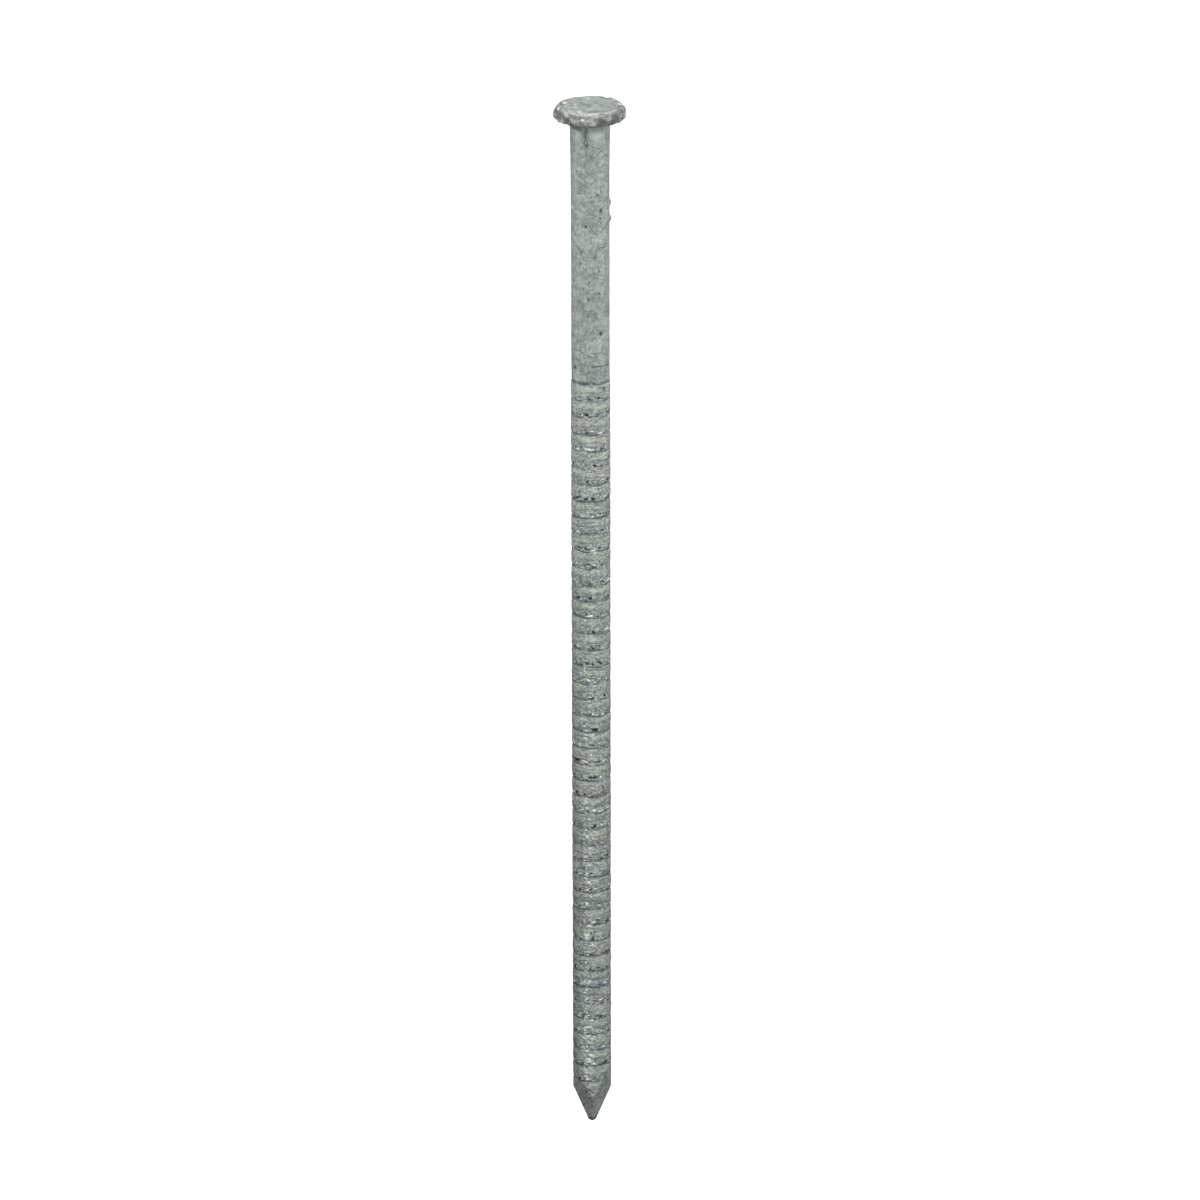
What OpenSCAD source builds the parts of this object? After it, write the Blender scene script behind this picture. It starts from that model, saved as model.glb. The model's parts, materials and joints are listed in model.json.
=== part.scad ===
// Ring-shank timber nail, hot-dip galvanised.
// One steel wire, headed, ring-rolled and pinch-pointed, sealed inside a thin skin of zinc.
// The axis of the nail is Z. The origin is on the axis, in the plane of the coated bearing face
// under the head, so the head stands above Z = 0 and the shank hangs below it.

/* [Shank] */
// Diameter of the bare steel wire
wire_d = 5.26; // [4:0.01:8]
// Length from the bearing face under the head to the tip
nail_l = 152.6; // [90:0.1:200]
// Distance from the bearing face to the first rolled groove
plain_l = 38.4; // [15:0.1:60]
// Extra diameter of the neck, right under the head, where the heading dies grip the wire
neck_extra_d = 0.22; // [0:0.01:0.6]
// Length over which the neck tapers down to the wire
neck_l = 8; // [2:0.5:10]
// Extra diameter that heading leaves in the steel at the end of the neck, gone by the first ring
upset_d = 0.02; // [0.01:0.01:0.04]

/* [Rings] */
// Distance from one rolled groove to the next
ring_pitch = 2.487; // [1.8:0.001:4]
// How far the crest of a ring stands out from the wire
ring_rise = 0.1; // [0:0.01:0.3]
// How deep a groove is rolled into the wire
groove_depth = 0.07; // [0.02:0.01:0.3]
// Width of the floor of a groove, along the axis
groove_w = 0.18; // [0.05:0.01:0.4]
// Width of the flat crest of a ring, along the axis
crest_w = 0.16; // [0.05:0.01:0.4]
// Distance from a groove down to the middle of the crest below it
crest_drop = 1.15; // [0.6:0.01:1.2]
// Least smooth length between the last groove and the corners of the point
end_gap = 1.4; // [0.5:0.1:4]

/* [Head] */
// Diameter of the bare steel head
head_d = 9.86; // [8.5:0.01:16]
// Thickness of the bare steel head
head_t = 1.82; // [1.55:0.01:4]
// Radius of the rounded shoulder between the struck face and the rim
shoulder_r = 1.02; // [0.3:0.01:1.1]
// Radius of the small round between the rim and the bearing face
rim_r = 0.32; // [0.1:0.01:0.4]

/* [Point] */
// Angle between the axis and the ridges on the left and right of the point
side_ridge_angle = 22.7; // [15:0.1:40]
// Angle between the axis and the ridges on the front and back of the point
front_ridge_angle = 26.7; // [15:0.1:40]
// Width of the blunt end of the steel tip, from its left ridge to its right ridge
tip_w = 0.7; // [0.3:0.05:1.5]

/* [Zinc] */
// Thickness of the zinc skin
zinc_t = 0.08; // [0.05:0.01:0.15]
// How far a frozen bead of zinc stands out from the skin
bead_rise = 0.17; // [0.05:0.01:0.2]
// Radius of a bead's foot, where it meets the skin
bead_foot_r = 0.5; // [0.3:0.05:0.8]
// Depth below the bearing face of each bead on the plain shank
bead_depths = [12.3, 14.5, 16.9, 27.8, 31.2];
// Angle about the axis of each bead, from the right-hand side towards the back
bead_angles = [2, 352, 205, 158, 61];

/* [Hidden] */
$fn = 96;

wire_r = wire_d / 2;
neck_r = wire_r + neck_extra_d / 2;
crest_r = wire_r + ring_rise;
groove_r = wire_r - groove_depth;

// slopes of the ridges, and of the four flat facets that meet in them
side_slope = tan(side_ridge_angle);
front_slope = tan(front_ridge_angle);
facet_angle = atan(1 / norm([1 / side_slope, 1 / front_slope]));
facet_turn = atan(side_slope / front_slope);

// the steel starts one skin above the coated bearing face, and its ridges would meet past the tip
steel_top = zinc_t;
steel_tip = steel_top - nail_l;
apex_z = steel_tip - tip_w / 2 / side_slope;
corner_z = apex_z + crest_r / side_slope;

ring_count = floor((-plain_l - end_gap - corner_z) / ring_pitch);
last_groove_z = -plain_l - ring_count * ring_pitch;

// sizes of the blocks that cut the facets: clear of the shank on every side
cut_w = 4 * crest_r;
cut_l = 2 * crest_r / tan(facet_angle);

// Height of groove number i, counted down from the head
function groove_z(i) = -plain_l - i * ring_pitch;

// One ring below groove i, from its upper groove edge over its crest to its lower groove edge
function ring_points(i, coat) = [
    [groove_r + coat, groove_z(i) - groove_w / 2],
    [crest_r + coat, groove_z(i) - crest_drop + crest_w / 2],
    [crest_r + coat, groove_z(i) - crest_drop - crest_w / 2],
    [groove_r + coat, groove_z(i + 1) + groove_w / 2]
];

// Radius at the end of the neck: the zinc over the upset steel is thinner, so its outside is straight
function neck_end_r(coat) = wire_r + coat + upset_d / 2 * (1 - coat / zinc_t);

// Half outline of the shank under the head, from the bearing face down to the blunt end
function shank_points(coat) = concat(
    [
        [0, steel_top + head_t / 2],
        [neck_r + coat, steel_top + head_t / 2],
        [neck_r + coat, steel_top - coat],
        [neck_end_r(coat), -neck_l],
        [wire_r + coat, -plain_l + ring_pitch - crest_drop],
        [groove_r + coat, -plain_l + groove_w / 2]
    ],
    [for (i = [0 : ring_count - 1]) each ring_points(i, coat)],
    [
        [groove_r + coat, last_groove_z - groove_w / 2],
        [wire_r + coat, last_groove_z - crest_drop],
        [wire_r + coat, steel_tip - coat],
        [0, steel_tip - coat]
    ]
);

// Round form of the shank, with a skin of the given thickness on it
module shank_form(coat) {
    rotate_extrude()
        polygon(shank_points(coat));
}

// Disc of the head: a flat struck face, a wide round shoulder, a straight rim and a small lower round
module head_form(coat) {
    r = head_d / 2 + coat;
    bottom = steel_top - coat;
    top = steel_top + head_t + coat;
    upper_r = shoulder_r + coat;
    lower_r = rim_r + coat;
    rotate_extrude() {
        translate([0, bottom])
            square([r - lower_r, lower_r]);
        translate([0, bottom + lower_r])
            square([r, top - upper_r - bottom - lower_r]);
        translate([0, top - upper_r])
            square([r - upper_r, upper_r]);
        translate([r - lower_r, bottom + lower_r])
            intersection() {
                circle(lower_r);
                translate([0, -lower_r])
                    square(lower_r);
            }
        translate([r - upper_r, top - upper_r])
            intersection() {
                circle(upper_r);
                square(upper_r);
            }
    }
}

// Blocks outside the four facets of the pinched point
module point_cuts(coat) {
    for (turn = [facet_turn, -facet_turn, 180 - facet_turn, 180 + facet_turn])
        rotate([0, 0, turn])
            translate([0, 0, apex_z])
                rotate([0, facet_angle, 0])
                    translate([coat, -cut_w / 2, -cut_w / 2])
                        cube([cut_w, cut_w, cut_l + cut_w / 2]);
}

// The whole nail, grown by a skin of the given thickness
module nail_form(coat) {
    difference() {
        union() {
            head_form(coat);
            shank_form(coat);
        }
        point_cuts(coat);
    }
}

// Frozen beads: caps of balls that are sunk in the skin
module zinc_beads() {
    ball_r = (bead_foot_r * bead_foot_r + bead_rise * bead_rise) / (2 * bead_rise);
    for (i = [0 : len(bead_depths) - 1])
        rotate([0, 0, bead_angles[i]])
            translate([wire_r + zinc_t + bead_rise - ball_r, 0, -bead_depths[i]])
                sphere(ball_r);
}

module steel_nail() {
    color([0.42, 0.42, 0.41])
        nail_form(0);
}

module zinc_coating() {
    color([0.61, 0.63, 0.61])
        difference() {
            union() {
                nail_form(zinc_t);
                zinc_beads();
            }
            nail_form(0);
        }
}

steel_nail();
zinc_coating();
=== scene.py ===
import json
import math
import random

import bmesh
import bpy
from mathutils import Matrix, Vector, noise


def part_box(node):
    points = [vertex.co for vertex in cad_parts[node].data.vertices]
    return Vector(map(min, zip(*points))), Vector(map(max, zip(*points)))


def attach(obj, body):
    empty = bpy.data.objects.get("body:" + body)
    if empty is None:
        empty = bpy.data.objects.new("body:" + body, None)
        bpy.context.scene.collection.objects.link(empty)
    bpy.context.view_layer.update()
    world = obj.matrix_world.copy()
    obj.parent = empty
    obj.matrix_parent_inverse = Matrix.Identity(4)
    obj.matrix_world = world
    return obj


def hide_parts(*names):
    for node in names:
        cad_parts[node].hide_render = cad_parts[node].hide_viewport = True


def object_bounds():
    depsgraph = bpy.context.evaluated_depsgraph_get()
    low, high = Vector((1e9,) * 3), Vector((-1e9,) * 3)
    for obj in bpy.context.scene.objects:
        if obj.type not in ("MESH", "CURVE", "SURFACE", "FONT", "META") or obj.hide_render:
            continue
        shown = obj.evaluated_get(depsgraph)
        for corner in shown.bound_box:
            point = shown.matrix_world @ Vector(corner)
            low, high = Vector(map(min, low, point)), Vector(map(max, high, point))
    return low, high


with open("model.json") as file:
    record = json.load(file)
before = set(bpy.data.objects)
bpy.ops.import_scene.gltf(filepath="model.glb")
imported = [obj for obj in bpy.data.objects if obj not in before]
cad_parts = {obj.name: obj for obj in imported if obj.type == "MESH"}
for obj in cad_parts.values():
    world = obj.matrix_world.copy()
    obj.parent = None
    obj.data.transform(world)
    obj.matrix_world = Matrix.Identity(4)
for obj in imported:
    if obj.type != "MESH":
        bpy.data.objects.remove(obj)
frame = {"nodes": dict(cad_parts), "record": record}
cadLow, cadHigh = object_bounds()
mounts = {m["name"]: m for m in frame["record"]["mounts"]}
mm = 0.001  # the skin is shaped in millimetres, then scaled to metres
print("frame loaded, the nail is", round((cadHigh.z - cadLow.z) / mm, 1), "mm long")

# Zinc skin. Lengths in millimetres, depths down from the bearing face under the head,
# angles in degrees from the front of the nail towards its right-hand side.
skin = {
    "columns": 96,
    "rowStep": 0.2,
    "flatR": 3.75,         # radius of the flat middle of the struck face
    "shoulderDrop": 1.15,
    "lowerRound": 0.32,
    "filletR": 3.3,        # where zinc starts to fill the corner under the head
    "filletDepth": 0.75,
    "neckR": 2.82,
    "neckEnd": 8.0,
    "firstGroove": 38.4,
    "pitch": 2.487,
    "rings": 44,
    "sideRidgeAngle": 22.7,
    "frontRidgeAngle": 26.7,
    "apexDepth": 153.36,   # where the ridges of the steel point would meet
    "facetZinc": 0.13,     # zinc over the flats of the steel point
    "tipRound": 0.22,
}

# One ring from its upper groove to its lower one: share of the pitch, height over the plain shank
ringProfile = [
    (0.0, -0.04), (0.03, -0.04), (0.06, 0.02), (0.11, 0.042), (0.17, 0.056), (0.25, 0.072),
    (0.34, 0.084), (0.43, 0.092), (0.48, 0.095), (0.52, 0.058), (0.565, 0.082), (0.68, 0.078),
    (0.78, 0.074), (0.86, 0.078), (0.92, 0.068), (0.955, 0.03),
]

shankR = mounts["plain_shank"]["dims"]["r_mm"]
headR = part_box("zinc_coating")[1].x / mm
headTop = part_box("zinc_coating")[1].z / mm
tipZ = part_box("zinc_coating")[0].z / mm


def straight(start, end, step=skin["rowStep"]):
    # the end point is left to the next stretch
    start, end = Vector(start), Vector(end)
    count = max(1, round((end - start).length / step))
    return [start.lerp(end, i / count) for i in range(count)]


def arc(centre, radii, fromAngle, toAngle, steps):
    points = []
    for i in range(steps):
        a = math.radians(fromAngle + (toAngle - fromAngle) * i / steps)
        points.append(Vector((centre[0] + radii[0] * math.cos(a), centre[1] + radii[1] * math.sin(a))))
    return points


def grooveZ(i):
    return -skin["firstGroove"] - i * skin["pitch"]


def headOutline():
    # (radius, height) from the middle of the struck face to the shank
    flatR, drop, low = skin["flatR"], skin["shoulderDrop"], skin["lowerRound"]
    points = straight((0, headTop), (flatR, headTop))
    points += arc((flatR, headTop - drop), (headR - flatR, drop), 90, 0, 10)
    points += straight((headR, headTop - drop), (headR, low))
    points += arc((headR - low, low), (low, low), 0, -80, 5)
    points += straight((headR - low, 0), (skin["filletR"], 0))
    depth = skin["filletDepth"]
    points += arc((skin["filletR"], -depth), (skin["neckR"] - skin["filletR"], depth), 90, 0, 5)
    return points


def shankOutline():
    last = grooveZ(skin["rings"])
    points = straight((skin["neckR"], -skin["filletDepth"]), (shankR, -skin["neckEnd"]))
    points += straight((shankR, -skin["neckEnd"]), (shankR, grooveZ(0) + 0.08))
    for i in range(skin["rings"]):
        points += [Vector((shankR + rise, grooveZ(i) - share * skin["pitch"])) for share, rise in ringProfile]
    points += [Vector((shankR + rise, last - share * skin["pitch"])) for share, rise in ringProfile[:4]]
    points += straight((shankR, last - 0.5), (shankR, tipZ + 0.04), 0.15)
    points += [Vector((shankR, tipZ + 0.04)), Vector((0.2, tipZ)), Vector((0, tipZ))]
    return points


def spinOutline(bm, points):
    verts = [bm.verts.new((p.x, 0, p.y)) for p in points]
    edges = [bm.edges.new(pair) for pair in zip(verts, verts[1:])]
    bmesh.ops.spin(bm, geom=verts + edges, cent=(0, 0, 0), axis=(0, 0, 1), dvec=(0, 0, 0),
                   angle=math.tau, steps=skin["columns"], use_merge=True, use_duplicate=False)
    bmesh.ops.remove_doubles(bm, verts=bm.verts, dist=0.0005)
    bmesh.ops.recalc_face_normals(bm, faces=bm.faces)


# Marks on the shank: angle, depth, radius, height (a pit is negative)
pits = [
    (34, 12.9, 0.44, -0.18), (-13, 15.1, 0.3, -0.13), (60, 15.1, 0.26, -0.13), (-16, 9.9, 0.2, -0.07),
    (33, 30.95, 0.42, -0.18), (-58, 23.3, 0.3, -0.1), (-55, 36.1, 0.36, -0.12), (8, 38.2, 0.3, -0.1),
    (44, 39.2, 0.36, -0.17), (-7, 25.8, 0.26, -0.09), (14, 19.65, 0.24, -0.08), (22, 8.6, 0.2, -0.08),
    (-34, 4.6, 0.24, -0.06), (-30, 6.2, 0.22, -0.05), (-28, 144.8, 0.24, -0.13), (5, 145.0, 0.24, -0.1),
    (46, 145.2, 0.26, -0.13), (-22, 147.2, 0.34, -0.16), (-7, 146.85, 0.22, -0.1), (23, 147.8, 0.26, -0.12),
    (1, 148.8, 0.24, -0.1), (2, 149.7, 0.2, -0.1), (1, 150.4, 0.16, -0.08), (0, 151.0, 0.14, -0.07),
]
lumps = [
    (92, 12.3, 0.7, 0.27), (84, 14.5, 0.7, 0.3), (295, 16.9, 0.5, 0.17), (248, 27.8, 0.5, 0.17),
    (151, 31.2, 0.5, 0.17), (-70, 12.9, 0.5, 0.18), (-7, 19.8, 0.2, 0.06), (25, 12.0, 0.5, 0.05),
    (-20, 5.9, 0.24, 0.05), (-20, 6.5, 0.24, 0.05), (-19, 7.1, 0.22, 0.05), (2, 148.2, 0.22, 0.05),
]

# Small marks scattered by chance: how many, then the ranges of depth, radius and height.
# A pit on the rings lies near a groove, or one of the listed distances below it.
scatter = {
    "seed": 11,
    "shankPits": (60, (2, 38), (0.12, 0.24), (-0.04, -0.1)),
    "shankLumps": (60, (1.5, 38), (0.25, 0.6), (0.015, 0.04)),
    "ringPits": (330, (-0.15, 0.15), (0.14, 0.28), (-0.05, -0.14)),
    "ringPitDrops": [0, 0, 0, 1.3, 1.9],
    "ringLumps": (200, (39, -grooveZ(skin["rings"]) - 1), (0.2, 0.4), (0.03, 0.06)),
}

# Seam left by the two gripping dies, darkened with painted shade in its groove and knot, the pale ridge
# beside it and the knot at its end
seam = {
    "angle": -12,
    "top": 0.75,
    "bottom": 3.5,
    "width": 0.3,
    "depth": 0.06,
    "bend": 0.1,
    "grime": 0.85,
    "ridge": 0.06,
    "ridgeGap": 0.38,
    "ridgeWidth": 0.16,
    "knot": 2.9,
    "knotR": 0.42,
}

# Faint first groove above the rings, on the right-hand side only: depth, its two ends, width, depth cut, and
# how dark its painted shade is
halfGroove = {"depth": 35.8, "from": 0, "to": 115, "width": 0.14, "cut": 0.05, "grime": 0.8}

# Smooth patches on the neck: angle, depth, half width, half height, how much paler
neckPatches = [(22, 2.0, 1.5, 1.1, 0.8), (-36, 2.0, 0.75, 1.2, 0.55), (-6, 5.6, 0.8, 2.6, -0.28)]

# Steel under the skin: heights over the plain zinc, and the shares of the pitch where a crest is flat
steelUnder = {"plain": -0.08, "groove": -0.15, "crest": 0.02, "crestFrom": 0.43, "crestTo": 0.495}

# How zinc and rolling leave the rings uneven
ringWear = {
    "full": 0.065,       # what lies lower than this is cut deeper or flooded with zinc, place by place
    "uneven": 0.9,
    "flood": 0.7,
    # how dark the painted shade in the deep grooves is
    "grime": 0.75,
    "streaks": 0.06,
    "wander": 0.14,      # how far a groove strays up and down
    "drift": 0.18,       # how far the rings in the middle lie below even spacing
    "setBack": 0.08,     # and how much lower still from the middle down, apart from the last few
}

# Bands of painted light and shade on each ring, tinted yellowish and bluish: share of the pitch at the middle
# of the band, half its width
flankLightBands = {"yellowish": (0.27, 0.24), "bluish": (0.8, 0.2)}

# Painted glints on the rings: a line down the front, and the share of the ringed length over which it comes
# up.
# It is strongest on the last rings and fades out above the point, at these heights over the last groove.
paintedGlints = {
    "angle": -15,
    "width": 1.7,
    "from": -0.2,
    "to": 0.7,
    "strongestFrom": 0.7,
    "strongestTo": 0.95,
    "fadeFrom": 3,
    "fadeTo": 2.2,
}

# Grain of the zinc: height, width of its lumps, seed
zincGrain = [(0.018, 5, 40), (0.014, 1.9, 50), (0.016, 0.62, 60), (0.012, 0.33, 70)]

# Fine worm-like lines in the zinc, and the deepest pits that stay clear of the steel
shankSkin = {"worms": 0.012, "plainPit": 0.065, "ringPit": 0.08, "overSteel": 0.015}

# Flats of the point: shares of grain and of painted shade that are left on them, and their paler tone.
# The tip is blunt, this share of its width, and darker between these heights over its end.
pointSkin = {
    "grain": 0.8,
    "grime": 0.3,
    "tone": 0.14,
    "pit": 0.08,
    "blunt": 0.75,
    "grimeFrom": 1.0,
    "grimeTo": 0.25,
}

# Painted shadow in the corner under the head: heights at which it starts and is full, strength, more on the
# left
cornerShadow = {"start": -1.5, "full": -0.95, "strength": 0.3, "more": 0.5, "angle": -42, "width": 2.0}


def drawMarks(rng, count, depths, radii, heights):
    return [(rng.uniform(0, 360), rng.uniform(*depths), rng.uniform(*radii), rng.uniform(*heights))
            for _ in range(count)]


def drawRingPits(rng, count, offsets, radii, heights):
    marks = []
    for _ in range(count):
        groove = -grooveZ(rng.randrange(skin["rings"]))
        depth = groove + rng.choice(scatter["ringPitDrops"]) + rng.uniform(*offsets)
        marks.append((rng.uniform(0, 360), depth, rng.uniform(*radii), rng.uniform(*heights)))
    return marks


def scatterMarks():
    rng = random.Random(scatter["seed"])
    marks = pits + lumps + drawMarks(rng, *scatter["shankPits"]) + drawMarks(rng, *scatter["shankLumps"])
    marks += drawRingPits(rng, *scatter["ringPits"]) + drawMarks(rng, *scatter["ringLumps"])
    shelves = {}
    for mark in marks:  # sorted by depth, so that each vertex asks only its neighbours
        for shelf in (-1, 0, 1):
            shelves.setdefault(int(mark[1]) + shelf, []).append(mark)
    return shelves


def hill(distance, radius):
    t = min(abs(distance) / radius, 1)
    return (1 - t * t) ** 2


def between(low, high, value):
    # 0 at low, 1 at high, smooth on the way
    t = min(max((value - low) / (high - low), 0), 1)
    return t * t * (3 - 2 * t)


def roundNoise(theta, z, size, seed=0.0):
    # noise that closes on itself round the shank; size is the width of its lumps
    at = Vector((math.cos(theta), math.sin(theta), 0)) * shankR / size
    at.z = z / size + seed
    return noise.noise(at)


def streakNoise(theta, z):
    # short lines round the shank, as the rolling dies leave them
    return noise.noise(Vector((math.cos(theta) * 1.3, math.sin(theta) * 1.3, z / 0.42)))


def arcGap(theta, angle):
    # distance round the shank from the line at that angle, in millimetres
    gap = theta + math.pi / 2 - math.radians(angle)
    return ((gap + math.pi) % math.tau - math.pi) * shankR


def facetR(theta, z):
    # radius at which the four flats of the point cut the shank
    side = math.tan(math.radians(skin["sideRidgeAngle"]))
    front = math.tan(math.radians(skin["frontRidgeAngle"]))
    angle = math.atan(1 / math.hypot(1 / side, 1 / front))
    reach = (z + skin["apexDepth"]) * math.tan(angle) + skin["facetZinc"] / math.cos(angle)
    fromSide = abs((theta + math.pi / 2) % math.pi - math.pi / 2)
    return reach / math.cos(fromSide - math.atan(side / front))


def steelRise(z):
    # how far the steel under the skin stands out from the plain shank's radius
    below = grooveZ(0) - z
    if below < 0:
        return steelUnder["plain"]
    turn = (below / skin["pitch"]) % 1
    climb = min(turn / steelUnder["crestFrom"], 1, (1 - turn) / (1 - steelUnder["crestTo"]))
    return steelUnder["groove"] + (steelUnder["crest"] - steelUnder["groove"]) * climb


def markHeight(shelves, theta, z):
    # height of all marks at a point, and how dark the painted shade in its pit is
    height = 0
    pitted = 0
    for angle, depth, radius, rise in shelves.get(int(-z), ()):
        along = -z - depth
        if abs(along) < radius:
            gap = math.hypot(along, arcGap(theta, angle))
            if gap < radius:
                height += rise * hill(gap, radius)
                if rise < 0:
                    shallow = min(1, -rise / 0.09)  # shallow pits are less dark
                    pitted = max(pitted, min(1, 1.7 * hill(gap, radius)) * shallow)
    return height, pitted


def seamHeight(theta, z):
    # height of the seam, its ridge and its knot at a point, and how dark the painted shade in the seam and
    # knot is there
    starts = between(seam["top"] - 0.3, seam["top"] + 0.2, -z)
    ends = starts * (1 - between(seam["bottom"] - 0.2, seam["bottom"] + 0.3, -z))
    gap = arcGap(theta, seam["angle"]) + seam["bend"] * math.sin(2.2 * z)
    cut = math.exp(-(gap / seam["width"]) ** 2)
    ridge = math.exp(-((gap - seam["ridgeGap"]) / seam["ridgeWidth"]) ** 2)
    knot = hill(math.hypot(gap, -z - seam["knot"]), seam["knotR"])
    height = ends * (seam["ridge"] * ridge - seam["depth"] * cut) - seam["depth"] * knot
    return height, max(seam["grime"] * ends * cut, knot)


def halfGrooveShare(theta, z):
    # 1 in the middle of the half groove, fading at its two ends
    angle = (math.degrees(theta) + 90) % 360
    ends = between(halfGroove["from"] - 8, halfGroove["from"] + 8, angle)
    ends *= 1 - between(halfGroove["to"] - 20, halfGroove["to"], angle)
    drift = 0.25 * roundNoise(theta, z, 3, 12)
    return ends * math.exp(-((-z - halfGroove["depth"] - drift) / halfGroove["width"]) ** 2)


def neckTone(theta, z):
    # pale smooth patches on both sides of the seam, and a darker run of zinc below it
    tone = 0
    for angle, depth, halfWidth, halfHeight, shade in neckPatches:
        tone += shade * hill(math.hypot(arcGap(theta, angle) / halfWidth, (-z - depth) / halfHeight), 1)
    return tone


def bandShade(turn):
    # 1 in the painted light of the yellowish band below a groove, 0 in the painted shade of the bluish one
    # above the next, 0.5 between them
    (upper, upperWidth), (lower, lowerWidth) = flankLightBands["yellowish"], flankLightBands["bluish"]
    return 0.5 + 0.5 * hill(turn - upper, upperWidth) - 0.5 * hill(turn - lower, lowerWidth)


def paintedRingGlint(theta, z, share):
    # a painted glint down the front of the rings
    glint = hill(arcGap(theta, paintedGlints["angle"]), paintedGlints["width"])
    glint *= between(paintedGlints["from"], paintedGlints["to"], share)
    glint *= 0.85 + 0.35 * between(paintedGlints["strongestFrom"], paintedGlints["strongestTo"], share)
    return glint * between(paintedGlints["fadeTo"], paintedGlints["fadeFrom"], z - grooveZ(skin["rings"]))


def cornerShade(theta, z):
    # painted shadow in the corner under the head, deeper on the left
    left = hill(arcGap(theta, cornerShadow["angle"]), cornerShadow["width"])
    share = between(cornerShadow["start"], cornerShadow["full"], z)
    return share * (cornerShadow["strength"] + cornerShadow["more"] * left)


def wearRing(theta, z, rise, ringed):
    # the same point once it is rolled and dipped: rise, z, painted shade, flank light, ringed share and
    # painted glint
    share = (z - grooveZ(0)) / (grooveZ(skin["rings"]) - grooveZ(0))
    grime = 0
    full = ringWear["full"]
    if -0.3 < rise < full:
        strength = 1 + ringWear["uneven"] * roundNoise(theta, z, 2.6, 20)
        flooded = between(0.05, 0.35, roundNoise(theta, z, 1.3, 31))
        rise = full + (rise - full) * strength * (1 - ringWear["flood"] * flooded)
        # painted shade in the grooves, darker the deeper they are
        grime = ringWear["grime"] * between(0.05, -0.04, rise)
    rise += ringWear["streaks"] * streakNoise(theta, z)
    band = bandShade(((grooveZ(0) - z) / skin["pitch"]) % 1)
    wander = ringWear["wander"] * (roundNoise(theta, z, 4.5, 3) + roundNoise(theta, z, 1.1, 8))
    drift = ringWear["drift"] * math.sin(math.pi * min(max(share, 0), 1))
    z += ringed * (wander - drift)
    z -= ringWear["setBack"] * between(0.15, 0.5, share) * between(1.0, 0.95, share)
    ringed *= 0.6 + 0.4 * between(0.01, 0.1, share)  # the first rings are smoother
    return rise, z, grime, band, ringed, paintedRingGlint(theta, z, share)


def shapeShank(theta, r, z, shelves):
    # a point's radius and height, then its painted shade, tone, flank light, ringed share and painted sparkle
    rise = plainRise = r - shankR
    ringed = between(grooveZ(0) + 0.3, grooveZ(0) + 0.05, z)
    grime = sparkle = 0
    band = 0.5
    if ringed > 0:
        rise, z, grime, band, ringed, sparkle = wearRing(theta, z, rise, ringed)
    grain = sum(height * roundNoise(theta, z, size, seed) for height, size, seed in zincGrain)
    worm = max(0, 1 - abs(roundNoise(theta, z, 0.85, 80)) * 7)
    seamRise, seamShade = seamHeight(theta, z)
    markRise, pitShade = markHeight(shelves, theta, z)
    half = halfGrooveShare(theta, z)
    tone = neckTone(theta, z)
    r = shankR + rise + grain * (1 - 0.6 * max(tone, 0)) - shankSkin["worms"] * worm
    r += seamRise - halfGroove["cut"] * half
    # no pit may reach the steel
    if ringed:
        leastR = shankR + max(steelRise(z), plainRise - shankSkin["ringPit"]) + shankSkin["overSteel"]
    else:
        leastR = shankR + plainRise - shankSkin["plainPit"]
    flat = facetR(theta, z) + pointSkin["grain"] * grain
    if flat < r:
        grime *= pointSkin["grime"]
        tone = pointSkin["tone"]
        band = 0.5
        sparkle = 0
        r = flat
        leastR = flat - pointSkin["pit"]
    r = max(r + markRise, min(r, leastR))
    # painted shade from the ring grooves, the seam, pits, the half groove and the corner under the head
    grime = max(grime, seamShade, pitShade, halfGroove["grime"] * half, cornerShade(theta, z))
    if z < tipZ + skin["tipRound"]:
        t = (tipZ + skin["tipRound"] - z) / skin["tipRound"]
        r *= pointSkin["blunt"] + (1 - pointSkin["blunt"]) * math.sqrt(max(0, 1 - t * t))
    # darker towards the end of the tip
    grime = max(grime, between(pointSkin["grimeFrom"], pointSkin["grimeTo"], z - tipZ))
    return r, z, grime, tone, band, ringed, sparkle


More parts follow.
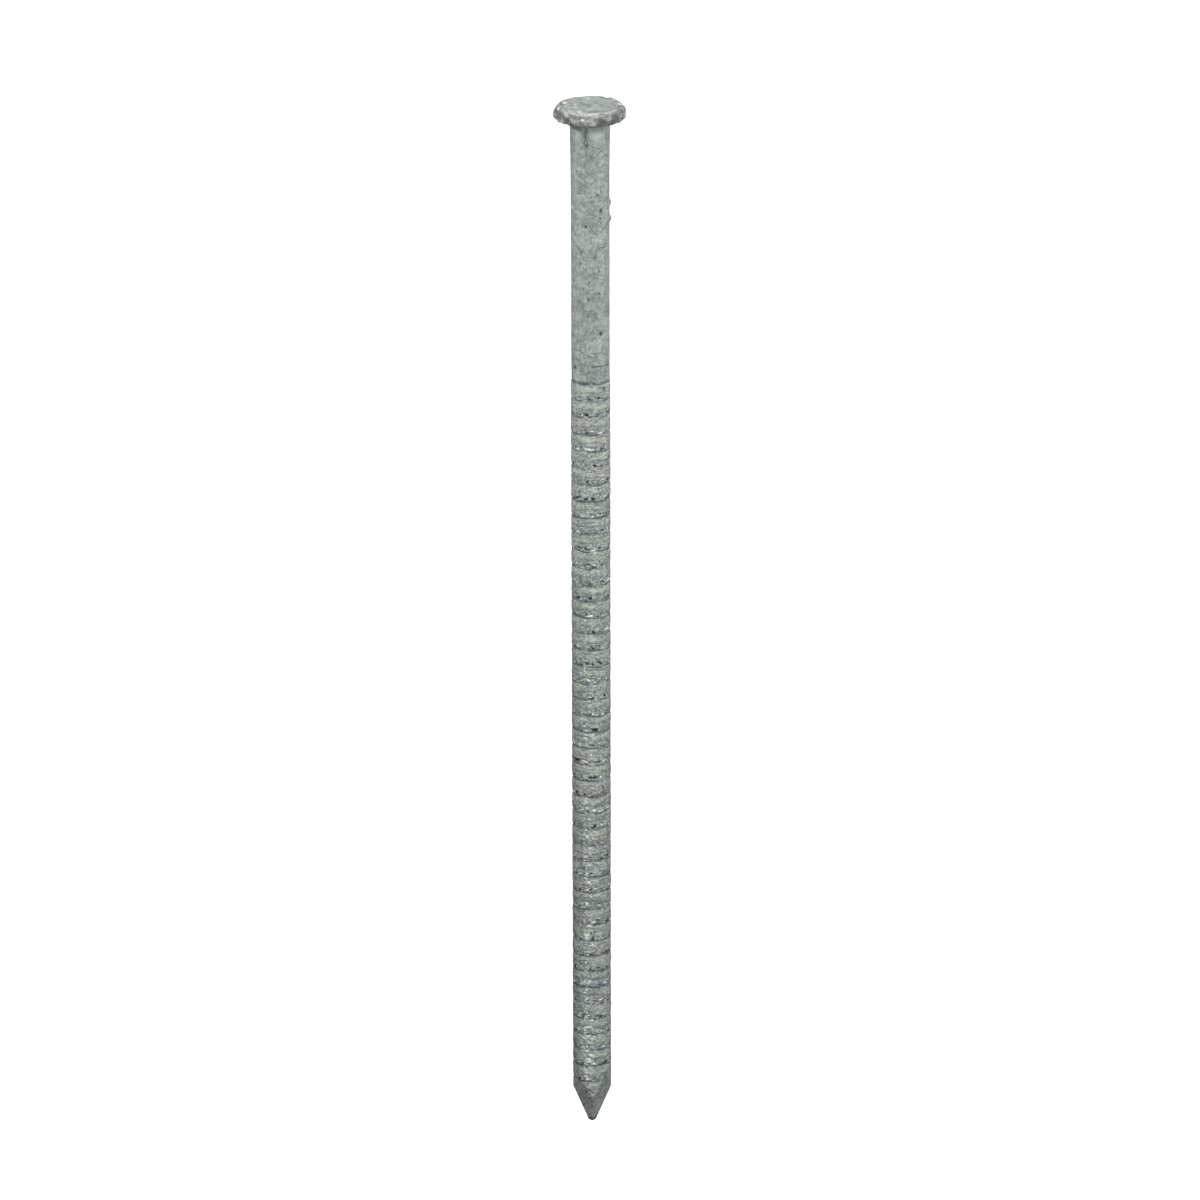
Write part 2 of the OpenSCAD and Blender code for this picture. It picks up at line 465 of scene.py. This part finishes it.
# Marks on the head: painted glints, pale patches that are partly painted highlights, and dark patches of
# painted shade round the rim. Angle, radius, height of the middle, size, how much paler, how strong its
# painted glint is
headMarks = [
    (-12, 5.0, 1.1, 0.42, 0.5, 2.0), (-4, 5.0, 0.95, 0.28, 0.4, 1.4), (-101, 3.6, 1.95, 0.5, 0.5, 2.8),
    (-74, 4.6, 1.6, 0.5, 0.5, 3.2), (90, 4.05, 1.9, 0.5, 0.5, 3.2), (-54, 2.65, 2.0, 0.8, 0.6, 0.2),
    (-25, 4.95, 0.9, 0.9, 0.4, 0.0), (-150, 1.0, 2.0, 0.8, 0.6, 0.4), (20, 2.2, 2.0, 1.2, 0.3, 0.0),
    (48, 4.8, 1.0, 1.1, -0.45, 0.0), (66, 4.7, 1.3, 0.8, -0.7, 0.0), (24, 4.9, 0.6, 0.8, -0.75, 0.0),
    (100, 4.7, 1.3, 1.1, -0.5, 0.0), (-62, 4.9, 0.7, 1.2, -0.65, 0.0), (-86, 4.9, 0.8, 1.0, -0.5, 0.0),
    (-42, 4.95, 0.4, 0.8, -0.7, 0.0), (84, 4.6, 1.5, 0.3, 0.8, 1.8), (60, 4.9, 0.9, 0.35, 0.8, 1.4),
    (3, 4.3, 1.75, 1.0, -0.5, 0.0), (22, 4.2, 1.8, 0.6, -0.6, 0.0), (34, 4.95, 1.2, 0.5, 0.6, 1.2),
    (76, 4.9, 0.7, 0.5, 0.6, 1.0), (-46, 4.5, 1.6, 0.35, 0.5, 1.8), (2, 2.4, 2.0, 0.5, 0.5, 1.2),
    (185, 2.6, 2.0, 0.55, 0.6, 1.6), (-90, 2.0, 2.0, 0.6, 0.6, 1.1), (-30, 4.4, 1.7, 0.7, -0.3, 0.0),
    (42, 4.4, 1.7, 0.5, -0.5, 0.0), (150, 4.0, 1.8, 0.8, -0.5, 0.0), (200, 4.8, 1.0, 1.3, -0.7, 0.0),
]

# Relief of the head in millimetres; a pair is for the flat face and what the rim adds
headRelief = {
    "broad": 0.05,
    "dents": (0.05, 0.11),
    "ripples": (0.04, 0.08),
    "specks": 0.03,
    "folds": 0.04,
    "marks": 0.04,
    "deepest": -0.065,   # so that the skin stays clear of the steel
}


def shapeHead(co):
    # how far the head's surface stands out, the painted shade in its folds, its tone and its painted sparkle
    broad = noise.noise(co * 0.33 + Vector((5, 0, 0)))
    dent = noise.noise(co * 0.75 + Vector((0, 9, 0)))
    ripple = noise.noise(co * 1.7)
    speck = noise.noise(co * 3.2)
    fold = max(0, 1 - abs(noise.noise(co * 0.7 + Vector((2, 2, 7)))) * 6)
    mottle = noise.noise(co * 0.6 + Vector((3, 1, 4)))
    r = math.hypot(co.x, co.y)
    rim = between(3.2, 4.3, r)
    side = between(4.4, 4.9, r) * between(1.8, 1.2, co.z)
    dentHeight = headRelief["dents"][0] + headRelief["dents"][1] * rim
    rippleHeight = headRelief["ripples"][0] + headRelief["ripples"][1] * rim
    height = headRelief["broad"] * broad + dentHeight * dent + rippleHeight * ripple
    height += headRelief["specks"] * speck - headRelief["folds"] * fold * (1 - 0.5 * rim)
    # paler flat face; painted shade on the lower side of the rim, which faces down
    tone = 0.25 * (1 - rim) + 0.4 * broad + (0.3 + 0.9 * rim) * ripple - side * (0.35 + 0.8 * mottle)
    sparkle = 0
    for angle, radius, level, size, shade, shine in headMarks:
        turn = math.radians(angle)
        middle = Vector((radius * math.sin(turn), -radius * math.cos(turn), level))
        near = hill((co - middle).length, size)
        tone += shade * near
        sparkle += shine * near
        height += headRelief["marks"] * shade * near
    # the folds get painted shade, the tone painted light and shade, the marks painted sparkle
    return max(headRelief["deepest"], height), 0.45 * fold, max(-1, min(1, tone)), sparkle


def buildZincSkin():
    # Each vertex keeps what the zinc's colours need: painted shade is dark in recesses, folds and under the
    # head, and at the tip, tone paler or darker (partly painted light and shade on the head), flank light
    # runs from painted shade on the bluish flank to painted light on the yellowish one of a ring, ringed is
    # the share of rolled surface, and painted sparkle is where a glint is painted.
    bm = bmesh.new()
    spinOutline(bm, headOutline() + shankOutline())
    bm.normal_update()
    layers = [bm.verts.layers.float.new(name) for name in ("grime", "tone", "band", "ringed", "sparkle")]
    shelves = scatterMarks()
    normals = [v.normal.copy() for v in bm.verts]
    for v, normal in zip(bm.verts, normals):
        r = math.hypot(v.co.x, v.co.y)
        if v.co.z > -0.5 * skin["filletDepth"]:
            height, grime, tone, sparkle = shapeHead(v.co)
            v.co += normal * height
            paint = (grime, tone, 0.5, 0, sparkle)
        elif r > 1e-4:
            theta = math.atan2(v.co.y, v.co.x)
            newR, newZ, *paint = shapeShank(theta, r, v.co.z, shelves)
            v.co = Vector((math.cos(theta) * newR, math.sin(theta) * newR, newZ))
        else:
            paint = (1, 0, 0.5, 0, 0)
        for layer, value in zip(layers, paint):
            v[layer] = value
    bmesh.ops.scale(bm, verts=bm.verts, vec=(mm, mm, mm))
    mesh = bpy.data.meshes.new("zincSkin")
    bm.to_mesh(mesh)
    bm.free()
    mesh.polygons.foreach_set("use_smooth", [True] * len(mesh.polygons))
    piece = bpy.data.objects.new("zincSkin", mesh)
    bpy.context.scene.collection.objects.link(piece)
    return piece


# Materials. Every pattern is set in millimetres on Object coordinates.
def newMaterial(name):
    material = bpy.data.materials.new(name)
    material.use_nodes = True
    nodes = material.node_tree.nodes
    nodes.clear()
    output = nodes.new("ShaderNodeOutputMaterial")
    shader = nodes.new("ShaderNodeBsdfPrincipled")
    material.node_tree.links.new(shader.outputs[0], output.inputs[0])
    return material, shader


def addNode(material, kind, **settings):
    node = material.node_tree.nodes.new(kind)
    for key, value in settings.items():
        setattr(node, key, value)
    return node


def join(material, source, target):
    material.node_tree.links.new(source, target)


def millimetres(material, stretch=(1, 1, 1)):
    coords = addNode(material, "ShaderNodeTexCoord")
    mapping = addNode(material, "ShaderNodeMapping")
    mapping.inputs["Scale"].default_value = [1000 * s for s in stretch]
    join(material, coords.outputs["Object"], mapping.inputs["Vector"])
    return mapping.outputs["Vector"]


def noiseField(material, place, scale, detail=3.0, roughness=0.55, distortion=0.0, output="Fac"):
    node = addNode(material, "ShaderNodeTexNoise")
    node.inputs["Scale"].default_value = scale
    node.inputs["Detail"].default_value = detail
    node.inputs["Roughness"].default_value = roughness
    node.inputs["Distortion"].default_value = distortion
    join(material, place, node.inputs["Vector"])
    return node.outputs[output]


def ramp(material, value, stops):
    node = addNode(material, "ShaderNodeValToRGB")
    elements = node.color_ramp.elements
    while len(elements) < len(stops):
        elements.new(0.5)
    for element, (position, colour) in zip(elements, stops):
        element.position = position
        element.color = (*colour, 1) if isinstance(colour, tuple) else (colour, colour, colour, 1)
    join(material, value, node.inputs["Fac"])
    return node.outputs["Color"]


def mixColours(material, factor, first, second):
    node = addNode(material, "ShaderNodeMix", data_type="RGBA")
    for socket, value in ((node.inputs[0], factor), (node.inputs[6], first), (node.inputs[7], second)):
        if isinstance(value, bpy.types.NodeSocket):
            join(material, value, socket)
        else:
            socket.default_value = (*value, 1)
    return node.outputs[2]


def multiply(material, first, second):
    node = addNode(material, "ShaderNodeMath", operation="MULTIPLY")
    for socket, value in zip(node.inputs, (first, second)):
        if isinstance(value, bpy.types.NodeSocket):
            join(material, value, socket)
        else:
            socket.default_value = value
    return node.outputs[0]


def cellEdges(material, place, scale):
    # distance from the wandering borders of small cells
    wander = addNode(material, "ShaderNodeTexNoise")
    wander.inputs["Scale"].default_value = scale * 1.3
    wander.inputs["Detail"].default_value = 2.0
    join(material, place, wander.inputs["Vector"])
    moved = addNode(material, "ShaderNodeVectorMath", operation="MULTIPLY_ADD")
    moved.inputs[1].default_value = (1.1, 1.1, 1.1)
    join(material, wander.outputs["Color"], moved.inputs[0])
    join(material, place, moved.inputs[2])
    cells = addNode(material, "ShaderNodeTexVoronoi", feature="DISTANCE_TO_EDGE")
    cells.inputs["Scale"].default_value = scale
    join(material, moved.outputs["Vector"], cells.inputs["Vector"])
    return cells.outputs["Distance"]


def attribute(material, name):
    return addNode(material, "ShaderNodeAttribute", attribute_name=name).outputs["Fac"]


def bumpFrom(material, height, strength, distance, below=None):
    node = addNode(material, "ShaderNodeBump")
    if isinstance(strength, bpy.types.NodeSocket):
        join(material, strength, node.inputs["Strength"])
    else:
        node.inputs["Strength"].default_value = strength
    node.inputs["Distance"].default_value = distance * mm
    join(material, height, node.inputs["Height"])
    if below:
        join(material, below, node.inputs["Normal"])
    return node.outputs["Normal"]


# Zinc: colours are linear, patterns are counted per millimetre
zincLook = {
    "pale": (0.45, 0.49, 0.45),
    "middle": (0.335, 0.377, 0.345),
    "dark": (0.165, 0.195, 0.18),
    "warm": (0.415, 0.385, 0.34),
    "cool": (0.26, 0.35, 0.325),
    "bluish": (0.17, 0.2, 0.192),
    # painted shade on the head's rim, also the darker run on the neck
    "shade": (0.085, 0.098, 0.09),
    # pale clean zinc, on the head also painted highlights
    "clean": (0.5, 0.545, 0.51),
    # dark colour for painted shade in recesses and under the head, and for dark specks
    "groove": (0.03, 0.036, 0.032),
    # painted light on the upward-facing flank of each ring, with a yellowish tint
    "ringTop": (0.43, 0.475, 0.36),
    # painted shade on the downward-facing flank of each ring, with a bluish tint
    "ringFoot": (0.205, 0.235, 0.255),
    "black": (0.012, 0.013, 0.016),
    # colour of the painted glints
    "glint": (0.85, 0.9, 0.88),
    "metallic": 0.2,
    "roughness": (0.46, 0.72),
    "tinge": (0.12, 0.33),   # strength of the coloured flecks, on the plain shank and on the rings
    "grainPerMm": 1.25,
    "tintPerMm": 1.0,
    "cellPerMm": 1.05,
    "cloudPerMm": 0.5,
    "patchPerMm": 0.12,
    "speckPerMm": 2.3,
    "granulePerMm": 3.2,
    "huePerMm": 0.7,
    "flecksPerMm": 2.0,
    "spotPerMm": 1.6,
    "sparkPerMm": 2.2,
    "dullPerMm": 1.4,
    "finePerMm": 3.0,
    "flatStretch": (0.75, 0.75, 1.4),
    "lineStretch": (0.25, 0.25, 2.0),
    "crackleDepth": 0.09,    # depths of the relief in millimetres
    "rollingDepth": 0.12,
    "fineDepth": 0.06,
}


def cover(material, colour, mask, name):
    # a named zinc colour over the one below, where the mask is white
    return mixColours(material, mask, colour, zincLook[name])


def coverWhere(material, colour, value, stops, name):
    return cover(material, colour, ramp(material, value, stops), name)


def paintGrain(material, place, grain):
    # grey mottle of the whole skin, with cell edges, clouds, tints and wide patches
    stops = [(0.34, zincLook["dark"]), (0.5, zincLook["middle"]), (0.66, zincLook["pale"])]
    colour = ramp(material, grain, stops)
    edges = cellEdges(material, place, zincLook["cellPerMm"])
    colour = coverWhere(material, colour, edges, [(0.0, 0.8), (0.13, 0.0)], "dark")
    clouds = noiseField(material, place, zincLook["cloudPerMm"], 2.0)
    colour = coverWhere(material, colour, clouds, [(0.35, 0.35), (0.5, 0.0)], "bluish")
    colour = coverWhere(material, colour, clouds, [(0.5, 0.0), (0.65, 0.35)], "pale")
    tint = noiseField(material, place, zincLook["tintPerMm"], 3.0)
    colour = coverWhere(material, colour, tint, [(0.52, 0.0), (0.68, 0.4)], "warm")
    colour = coverWhere(material, colour, tint, [(0.32, 0.4), (0.46, 0.0)], "cool")
    patches = noiseField(material, place, zincLook["patchPerMm"], 2.0)
    return coverWhere(material, colour, patches, [(0.52, 0.0), (0.7, 0.45)], "bluish")


def paintRings(material, colour, flat, rolled, ringed):
    # the rolled rings: painted light, yellowish, below each groove, painted shade, bluish, above the next,
    # with short lines, granules, black spots and painted glints
    band = attribute(material, "band")
    top = ramp(material, band, [(0.55, 0.0), (0.95, 1.0)])
    foot = ramp(material, band, [(0.1, 1.0), (0.4, 0.0)])
    hue = noiseField(material, flat, zincLook["huePerMm"], 2.0)
    top = multiply(material, top, ramp(material, hue, [(0.38, 0.1), (0.6, 0.85)]))
    colour = cover(material, colour, top, "ringTop")
    lower = multiply(material, foot, ramp(material, hue, [(0.38, 0.85), (0.6, 0.1)]))
    colour = cover(material, colour, lower, "ringFoot")

    granules = noiseField(material, flat, zincLook["granulePerMm"], 3.0, 0.6)
    rollingMarks = [
        (rolled, [(0.36, 0.85), (0.49, 0.0)], "dark"),
        (granules, [(0.35, 0.95), (0.49, 0.0)], "bluish"),
        (granules, [(0.52, 0.0), (0.65, 0.95)], "clean"),
    ]
    for value, stops, name in rollingMarks:
        colour = cover(material, colour, multiply(material, ringed, ramp(material, value, stops)), name)

    tinge = addNode(material, "ShaderNodeMix", data_type="RGBA", blend_type="OVERLAY")
    plain, rolledZinc = zincLook["tinge"]
    join(material, ramp(material, ringed, [(0.0, plain), (1.0, rolledZinc)]), tinge.inputs[0])
    join(material, colour, tinge.inputs[6])
    flecks = noiseField(material, flat, zincLook["flecksPerMm"], 2.0, 0.6, output="Color")
    join(material, flecks, tinge.inputs[7])

    # black spots, and painted glints on the bluish flank
    spots = noiseField(material, flat, zincLook["spotPerMm"], 1.0, 0.5)
    dark = multiply(material, foot, ramp(material, spots, [(0.36, 1.0), (0.4, 0.0)]))
    paintedGlintSpots = multiply(material, foot, ramp(material, spots, [(0.63, 0.0), (0.68, 1.0)]))
    return cover(material, cover(material, tinge.outputs[2], dark, "black"), paintedGlintSpots, "glint")


def paintMarks(material, colour, place, flat, tone):
    # paler and darker patches (on the head partly painted highlight and shade), specks, painted shade in the
    # grooves, pits, seam and corner under the head, and painted glints
    # pale and dark tone; on the head this is painted highlight and painted shade
    colour = coverWhere(material, colour, tone, [(0.0, 0.0), (1.0, 1.0)], "clean")
    colour = coverWhere(material, colour, multiply(material, tone, -1.0), [(0.0, 0.0), (1.0, 1.0)], "shade")
    specks = noiseField(material, place, zincLook["speckPerMm"], 2.0, 0.5)
    colour = coverWhere(material, colour, specks, [(0.28, 0.75), (0.35, 0.0)], "groove")
    colour = coverWhere(material, colour, specks, [(0.66, 0.0), (0.74, 0.7)], "clean")
    # painted shade in grooves, pits, the seam, the head's folds and the corner under it, darker at the tip
    colour = coverWhere(material, colour, attribute(material, "grime"), [(0.1, 0.0), (0.95, 0.9)], "groove")
    # painted glints where the painted sparkle and a noise are high
    sparks = addNode(material, "ShaderNodeMath", operation="MULTIPLY_ADD")
    join(material, attribute(material, "sparkle"), sparks.inputs[0])
    sparks.inputs[1].default_value = 0.2
    join(material, noiseField(material, flat, zincLook["sparkPerMm"], 2.0, 0.5), sparks.inputs[2])
    return coverWhere(material, colour, sparks.outputs[0], [(0.74, 0.0), (0.84, 1.0)], "glint")


def makeZinc():
    material, shader = newMaterial("hotDipZinc")
    place = millimetres(material)
    flat = millimetres(material, zincLook["flatStretch"])
    lines = millimetres(material, zincLook["lineStretch"])
    tone = attribute(material, "tone")
    ringed = attribute(material, "ringed")
    grain = noiseField(material, place, zincLook["grainPerMm"], 5.0, 0.66, 1.2)
    rolled = noiseField(material, lines, 1.0, 3.0, 0.6)

    colour = paintGrain(material, place, grain)
    colour = paintRings(material, colour, flat, rolled, ringed)
    colour = paintMarks(material, colour, place, flat, tone)
    join(material, colour, shader.inputs["Base Color"])
    shader.inputs["Metallic"].default_value = zincLook["metallic"]
    dull = noiseField(material, place, zincLook["dullPerMm"], 3.0)
    shiny, matt = zincLook["roughness"]
    join(material, ramp(material, dull, [(0.3, shiny), (0.7, matt)]), shader.inputs["Roughness"])

    smoother = ramp(material, tone, [(0.1, 0.9), (0.8, 0.25)])  # pale patches have less relief
    crackle = bumpFrom(material, grain, smoother, zincLook["crackleDepth"])
    rollMarks = bumpFrom(material, rolled, ringed, zincLook["rollingDepth"], crackle)
    fine = noiseField(material, place, zincLook["finePerMm"], 3.0, 0.65)
    relief = bumpFrom(material, fine, 1.0, zincLook["fineDepth"], rollMarks)
    join(material, relief, shader.inputs["Normal"])
    return material


steelLook = {
    "light": (0.46, 0.455, 0.44),
    "dark": (0.3, 0.295, 0.285),
    "roughness": (0.28, 0.45),
    "streaksPerMm": 4.0,
    "stretch": (1, 1, 0.05),
}


def makeSteel():
    # bright drawn wire: fine streaks along the axis
    material, shader = newMaterial("drawnSteel")
    place = millimetres(material, steelLook["stretch"])
    streaks = noiseField(material, place, steelLook["streaksPerMm"], 4.0)
    colour = ramp(material, streaks, [(0.3, steelLook["dark"]), (0.7, steelLook["light"])])
    join(material, colour, shader.inputs["Base Color"])
    shader.inputs["Metallic"].default_value = 1.0
    smooth, rough = steelLook["roughness"]
    join(material, ramp(material, streaks, [(0.3, rough), (0.7, smooth)]), shader.inputs["Roughness"])
    join(material, bumpFrom(material, streaks, 0.3, 0.02), shader.inputs["Normal"])
    return material


zincSkin = buildZincSkin()
zincSkin.data.materials.append(makeZinc())
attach(zincSkin, "root")
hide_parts("zinc_coating")
print("zinc skin:", len(zincSkin.data.vertices), "vertices")

steelNail = frame["nodes"]["steel_nail"]
steelNail.data.materials.clear()
steelNail.data.materials.append(makeSteel())
print("steel wire painted")

# Studio: lengths in metres, colours linear
studio = {
    "floorZ": -0.6,
    "floorSize": 8,
    "floorColour": (0.9, 0.9, 0.9),
    "floorGlow": 0.6,
    "skyTop": 0.6,
    "skyLow": 0.06,
    "skyFrom": -0.4,   # the sky is darkest where a direction points this far up or less
    "skyTo": 0.6,      # and brightest from here on
    "skyLean": 0.45,   # how much brighter the sky is on the right
}

# Lamps: place, point aimed at, width and height, power in watts, spread in degrees
lamps = {
    "key": ((0.0, -1.0, 0.2), (0, 0, -0.08), (0.5, 0.5), 4.3, 180),
    "fill": ((0.8, -0.6, 0.12), (0, 0, -0.06), (0.5, 0.5), 1.8, 180),
    "glint": ((-0.5, -0.85, -0.02), (0, 0, -0.08), (0.15, 0.35), 1.6, 180),
    "left": ((-0.15, -0.03, 0.0), (0, 0, -0.02), (0.08, 0.08), 0.023, 70),
    "right": ((0.15, -0.03, 0.0), (0, 0, -0.02), (0.08, 0.08), 0.016, 70),
    "top": ((0, 0.2, 1.1), (0, 0, 0), (1.5, 1.5), 9.5, 180),
}


def makeFloor():
    bm = bmesh.new()
    bmesh.ops.create_grid(bm, x_segments=8, y_segments=8, size=studio["floorSize"])
    bmesh.ops.translate(bm, verts=bm.verts, vec=(0, 0, studio["floorZ"]))
    mesh = bpy.data.meshes.new("floor")
    bm.to_mesh(mesh)
    bm.free()
    floor = bpy.data.objects.new("floor", mesh)
    bpy.context.scene.collection.objects.link(floor)
    material, shader = newMaterial("paleFloor")
    shader.inputs["Base Color"].default_value = (*studio["floorColour"], 1)
    shader.inputs["Roughness"].default_value = 0.9
    shader.inputs["Emission Color"].default_value = (1, 1, 1, 1)
    shader.inputs["Emission Strength"].default_value = studio["floorGlow"]
    mesh.materials.append(material)
    floor.visible_diffuse = False
    floor.visible_glossy = False
    return floor


def areaLight(name, place, aim, size, power, spread):
    data = bpy.data.lights.new(name, "AREA")
    data.shape = "RECTANGLE"
    data.size, data.size_y = size
    data.energy = power
    data.spread = math.radians(spread)
    lamp = bpy.data.objects.new(name, data)
    lamp.location = place
    lamp.rotation_euler = (Vector(aim) - Vector(place)).to_track_quat("-Z", "Y").to_euler()
    bpy.context.scene.collection.objects.link(lamp)


def makeWorld():
    world = bpy.data.worlds.new("studio")
    bpy.context.scene.world = world
    world.use_nodes = True
    nodes, links = world.node_tree.nodes, world.node_tree.links
    nodes.clear()
    output = nodes.new("ShaderNodeOutputWorld")
    background = nodes.new("ShaderNodeBackground")
    coords = nodes.new("ShaderNodeTexCoord")
    split = nodes.new("ShaderNodeSeparateXYZ")
    shade = nodes.new("ShaderNodeMapRange")
    shade.inputs["From Min"].default_value = studio["skyFrom"]
    shade.inputs["From Max"].default_value = studio["skyTo"]
    shade.inputs["To Min"].default_value = studio["skyLow"]
    shade.inputs["To Max"].default_value = studio["skyTop"]
    links.new(coords.outputs["Generated"], split.inputs[0])
    lean = nodes.new("ShaderNodeMath")
    lean.operation = "MULTIPLY_ADD"
    lean.inputs[1].default_value = studio["skyLean"]
    links.new(split.outputs["X"], lean.inputs[0])
    links.new(split.outputs["Z"], lean.inputs[2])
    links.new(lean.outputs[0], shade.inputs["Value"])
    links.new(shade.outputs[0], background.inputs["Color"])
    links.new(background.outputs[0], output.inputs[0])


makeFloor()
makeWorld()
for name, settings in lamps.items():
    areaLight(name, *settings)
print("studio lit")

# Camera: straight in front of the nail and a little above it; distances in metres, lens and sensor in mm
view = {
    "distance": 1.0628,
    "elevation": 20.18,
    "lens": 223.5,
    "aimAboveMiddle": 0.0037,
    "aimRight": 0.001275,
    "lean": 0.11,
    "sensor": 36,
    "clip": (0.01, 50),
}


def makeCamera():
    data = bpy.data.cameras.new("camera")
    data.lens = view["lens"]
    data.sensor_width = view["sensor"]
    data.clip_start, data.clip_end = view["clip"]
    camera = bpy.data.objects.new("camera", data)
    bpy.context.scene.collection.objects.link(camera)
    middle = (cadLow.z + cadHigh.z) / 2
    aim = Vector((view["aimRight"], 0, middle + view["aimAboveMiddle"]))
    up = math.radians(view["elevation"])
    camera.location = aim + Vector((0, -math.cos(up), math.sin(up))) * view["distance"]
    camera.rotation_mode = "XYZ"
    camera.rotation_euler = (math.pi / 2 - up, 0, 0)
    camera.rotation_euler.rotate_axis("Z", math.radians(-view["lean"]))
    bpy.context.scene.camera = camera


makeCamera()
bpy.context.scene.view_settings.view_transform = "Standard"
bpy.context.view_layer.update()
